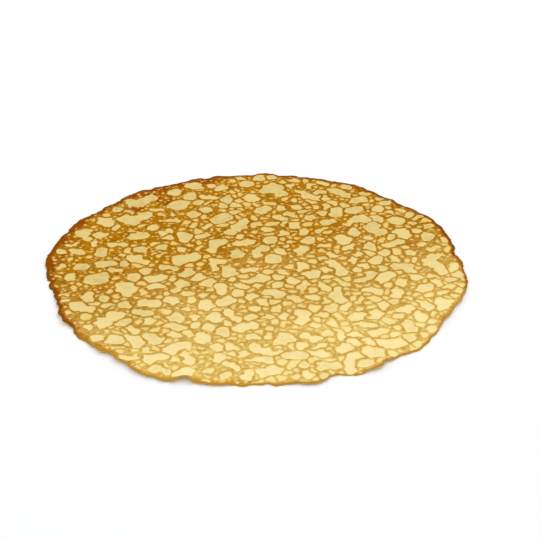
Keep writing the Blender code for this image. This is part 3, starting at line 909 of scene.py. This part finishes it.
# Noises of the material: size of the bumps in metres, detail and roughness
FINE = (0.0012, 3.0, 0.6)
MIDDLING = (0.0055, 3.0, 0.55)
WIDE = (0.022, 2.0, 0.5)
MOTTLED = (0.0032, 2.0, 0.6)
GRAINY = (0.0024, 2.0, 0.6)
FADED = (0.007, 2.0, 0.6)
VEINED = (0.011, 3.0, 0.65)
BLOTCHED = (0.013, 3.0, 0.6)
SPECK_SIZE = 0.0021

# Smooth steps of the material: from and to what value, and the two ends where they aren't 0 and 1
CELL_BORDER = (-0.55, 0.9)
CELL_MIDDLE = (0.2, 1.8)
CELL_SHADED = (0.4, 1.15)
FAINT_WHERE_FAIR_AND_LIT = (0.3, 1.0, 0.8, 0.35)
RIM_FAIR_AND_LIT = (0.4, 0.95)
RIM_BAKED = (12.0, 0.0, 0.0, 0.4)
NETWORK_SCORCHED = (0.45, 1.15)
SPECK_NEAR = (0.4, 0.15)
SPECK_CHOSEN = (0.3, 0.45)
SPECK_OUTSIDE = (-0.35, -0.7)
MOTTLE_THERE = (0.5, 0.72)
MOTTLE_OUTSIDE = (-0.3, -0.8)
GRAIN_THERE = (0.52, 0.36)
OUTLINE_THERE = (-1.1, -0.4)
OUTLINE_WHERE_BAKED = (1.0, 0.4, 0.4, 0.75)
OUTLINE_WHERE_FAINT = (0.1, 1.0, 1.0, 0.35)
FADED_THERE = (0.5, 0.7)
FADED_WHERE_FAIR_AND_LIT = (0.3, 1.0, 0.0, 0.35)
NEAR_EDGE = (1.0, 0.2)
FRECKLE_THERE = (0.6, 0.72)
FRECKLE_WHERE = (0.42, 0.6)
VEIN_THERE = (0.045, 0.01)
BLOTCH_THERE = (0.5, 0.68)
BACK_RIM = (3.5, 0.2)
UNDER_SIDE = (0.45, 0.75)
ROUGHNESS_IN_CELL = (0.0, 1.0, 0.5, 0.62)

# Strengths of what makes the borders, the shades, the browning and the rim uneven
BORDER_SWING = 0.5
TINT_SHARE = 0.2
SHADE_SHARE = 1.2
SHADE_SWING = 0.9
BROWN_SHARE = 0.9
BROWN_WIDE_SWING = 0.8
BROWN_SWING = 1.4
MOTTLE_SHARE = 0.6
GRAIN_SHARE = 0.7
# The scorched band and the dark line at the rim: reach in mm where well baked and where fair and lightened by
# painted light, and unevenness
BAND_REACH = (3.6, 2.0)
BAND_MIDDLING = 1.6
BAND_MIDDLE = 1.3
BAND_SWING = 7.0
BAND_SHARE = 0.8
LINE_REACH = (3.0, 1.2)
LINE_SWING = 3.5
# The underside's patches
VEIN_SHARE = 0.7
BLOTCH_SHARE = 0.65
FRECKLE_SHARE = 0.8
# Gloss and bumps, the bumps' height in metres
GLOSS = 0.002
BUMP_STRENGTH = 0.6
BUMP_HEIGHT = 0.00025
BUMP_MIDDLING = 0.8


def crepe_material():
    """Pale cells in a brown network, a scorched rim, and a pale underside."""
    n = Nodes("browned_batter")
    # Lighter towards the front: partly fairer batter, partly painted light falling from the front
    fair_and_lit = n.stored("fair_and_lit")
    faint = n.stored("faint")
    rim = n.stored("rim")
    fine = n.noise(*FINE)
    middling = n.noise(*MIDDLING)
    wide = n.noise(*WIDE)
    depth = n.plus(n.stored("cell"), n.swing(fine, BORDER_SWING))
    in_cell = n.step(depth, *CELL_BORDER)

    def tone(pair):
        return n.mix(fair_and_lit, *pair)

    # The cells: lighter at their borders, partly with painted light, and browner where they are small
    shade = n.plus(n.times(n.stored("tint"), TINT_SHARE), n.times(middling, SHADE_SHARE))
    shade = n.plus(shade, n.swing(fine, SHADE_SWING))
    pale = n.mix(n.step(shade, *CELL_SHADED), tone(PALE_MIDDLE), tone(PALE_SHADE))
    # Lighter border round each cell's greyer middle: partly the crust's own tone, partly painted light on the
    # raised border and painted shade in the dent
    pale = n.mix(n.step(depth, *CELL_MIDDLE), tone(PALE_EDGE), pale)
    pale = n.mix(n.times(faint, n.step(fair_and_lit, *FAINT_WHERE_FAIR_AND_LIT)), pale, tone(SPECK))

    # The network between them, with lighter specks and patches, and darker grain and lines round the cells
    baked = n.plus(n.times(n.stored("brown"), BROWN_SHARE), n.swing(wide, BROWN_WIDE_SWING))
    baked = n.plus(baked, n.swing(middling, BROWN_SWING))
    baked = n.plus(baked, n.step(rim, *RIM_BAKED))
    network = n.mix(n.step(baked, *NETWORK_SCORCHED), tone(JUNCTION), tone(SCORCHED))
    distance, random = n.specks(SPECK_SIZE)
    speck = n.times(n.step(distance, *SPECK_NEAR), n.step(random, *SPECK_CHOSEN))
    speck = n.times(speck, n.step(depth, *SPECK_OUTSIDE))
    mottle = n.times(n.step(n.noise(*MOTTLED), *MOTTLE_THERE), n.step(depth, *MOTTLE_OUTSIDE))
    mottle = n.times(n.math("MAXIMUM", speck, mottle), MOTTLE_SHARE)
    network = n.mix(mottle, network, tone(MOTTLE))
    grain = n.times(n.step(n.noise(*GRAINY), *GRAIN_THERE), GRAIN_SHARE)
    outline = n.times(n.step(depth, *OUTLINE_THERE), n.step(baked, *OUTLINE_WHERE_BAKED))
    outline = n.times(outline, n.step(faint, *OUTLINE_WHERE_FAINT))
    network = n.mix(n.math("MAXIMUM", outline, grain), network, tone(OUTLINE))
    faded = n.times(n.step(n.noise(*FADED), *FADED_THERE), n.step(fair_and_lit, *FADED_WHERE_FAIR_AND_LIT))
    network = n.mix(faded, network, tone(PALE_EDGE))
    face = n.mix(in_cell, network, pale)

    # The rim: an uneven scorched band, and a dark line at the very edge, both lighter at the front with the
    # painted light
    rim_fair_and_lit = n.step(fair_and_lit, *RIM_FAIR_AND_LIT)
    uneven = n.plus(n.times(middling, BAND_MIDDLING), wide)
    band = n.plus(rim, n.swing(uneven, BAND_SWING, BAND_MIDDLE))
    scorch = n.step(n.math("DIVIDE", band, n.mix_value(rim_fair_and_lit, *BAND_REACH)), *NEAR_EDGE)
    face = n.mix(n.times(scorch, BAND_SHARE), face, n.mix(rim_fair_and_lit, *RIM_BROWN))
    line = n.plus(rim, n.swing(middling, LINE_SWING))
    line = n.step(n.math("DIVIDE", line, n.mix_value(rim_fair_and_lit, *LINE_REACH)), *NEAR_EDGE)
    face = n.mix(line, face, n.mix(rim_fair_and_lit, *RIM_LINE))

    # The underside: cream, with faint veins and blotches, a few freckles and a browner rim
    off_middle = n.math("ABSOLUTE", n.math("SUBTRACT", n.noise(*VEINED), NOISE_MIDDLE))
    vein = n.times(n.step(off_middle, *VEIN_THERE), VEIN_SHARE)
    blotch = n.times(n.step(n.noise(*BLOTCHED), *BLOTCH_THERE), BLOTCH_SHARE)
    back = n.mix(n.math("MAXIMUM", vein, blotch), CREAM, BACK_LACE)
    freckle = n.times(n.step(middling, *FRECKLE_THERE), n.step(wide, *FRECKLE_WHERE))
    back = n.mix(n.times(freckle, FRECKLE_SHARE), back, FRECKLE)
    back = n.mix(n.step(rim, *BACK_RIM), back, tone(JUNCTION))
    n.plug(n.mix(n.step(n.stored("under"), *UNDER_SIDE), face, back), n.shader.inputs["Base Color"])

    n.plug(n.step(in_cell, *ROUGHNESS_IN_CELL), n.shader.inputs["Roughness"])
    n.shader.inputs["Specular IOR Level"].default_value = GLOSS
    bump = n.add("ShaderNodeBump")
    bump.inputs["Strength"].default_value = BUMP_STRENGTH
    bump.inputs["Distance"].default_value = BUMP_HEIGHT
    n.plug(n.plus(fine, n.times(middling, BUMP_MIDDLING)), bump.inputs["Height"])
    n.plug(bump.outputs["Normal"], n.shader.inputs["Normal"])
    return n.material


# The floor, a hair below the sheet so that no two faces lie in one plane
FLOOR_SIZE = 8.0
FLOOR_HEIGHT = -0.00005
FLOOR_COLOUR = (0.97, 0.97, 0.97, 1.0)
FLOOR_ROUGHNESS = 0.9
# The light from all round, and the soft lights: azimuth, elevation, distance, size, power and colour
SKY_COLOUR = (0.985, 0.993, 1.0, 1.0)
SKY_STRENGTH = 0.89
LIGHTS = {
    "key": (60.0, 50.0, 1.8, 1.2, 6.5, (1.0, 0.985, 0.96)),
    "fill": (215.0, 55.0, 2.0, 1.4, 2.0, (1.0, 1.0, 1.0)),
}
# The camera: lens and sensor in mm, its place from the pan's middle in metres, and how far it looks down
LENS = 80.0
SENSOR = 36.0
CAMERA_PLACE = (0.00984, -0.75111, 0.43649)
LOOKS_DOWN = 30.275


def add_floor():
    bpy.ops.mesh.primitive_plane_add(size=FLOOR_SIZE, location=(0.0, 0.0, FLOOR_HEIGHT))
    floor = bpy.context.object
    floor.name = "floor"
    n = Nodes("white_floor")
    n.shader.inputs["Base Color"].default_value = FLOOR_COLOUR
    n.shader.inputs["Roughness"].default_value = FLOOR_ROUGHNESS
    floor.data.materials.append(n.material)


def add_area_light(name, azimuth, elevation, distance, size, power, tone):
    """A soft light that points at the middle of the crepe."""
    light = bpy.data.lights.new(name, "AREA")
    light.shape = "DISK"
    light.size = size
    light.energy = power
    light.color = tone
    lamp = bpy.data.objects.new(name, light)
    turn, rise = math.radians(azimuth), math.radians(elevation)
    away = Vector((math.cos(turn) * math.cos(rise), math.sin(turn) * math.cos(rise), math.sin(rise)))
    lamp.location = away * distance
    lamp.rotation_euler = away.to_track_quat("Z", "Y").to_euler()
    bpy.context.scene.collection.objects.link(lamp)


def add_lights():
    world = bpy.data.worlds.new("studio")
    bpy.context.scene.world = world
    world.use_nodes = True
    sky = world.node_tree.nodes["Background"]
    sky.inputs["Color"].default_value = SKY_COLOUR
    sky.inputs["Strength"].default_value = SKY_STRENGTH
    for name, values in LIGHTS.items():
        add_area_light(name, *values)


def add_camera():
    """The photo's viewpoint, found from the ellipse that the round edge makes in it."""
    data = bpy.data.cameras.new("camera")
    data.lens = LENS
    data.sensor_width = SENSOR
    camera = bpy.data.objects.new("camera", data)
    shift = centre_of_box() * MM
    camera.location = (CAMERA_PLACE[0] - shift[0], CAMERA_PLACE[1] - shift[1], CAMERA_PLACE[2])
    camera.rotation_euler = (math.radians(90.0 - LOOKS_DOWN), 0.0, 0.0)
    bpy.context.scene.collection.objects.link(camera)
    bpy.context.scene.camera = camera


crepe = build_sheet()
crepe.data.materials.append(crepe_material())
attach(crepe, "root")
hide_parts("crepe")
add_floor()
add_lights()
add_camera()
bpy.context.scene.view_settings.view_transform = "Standard"
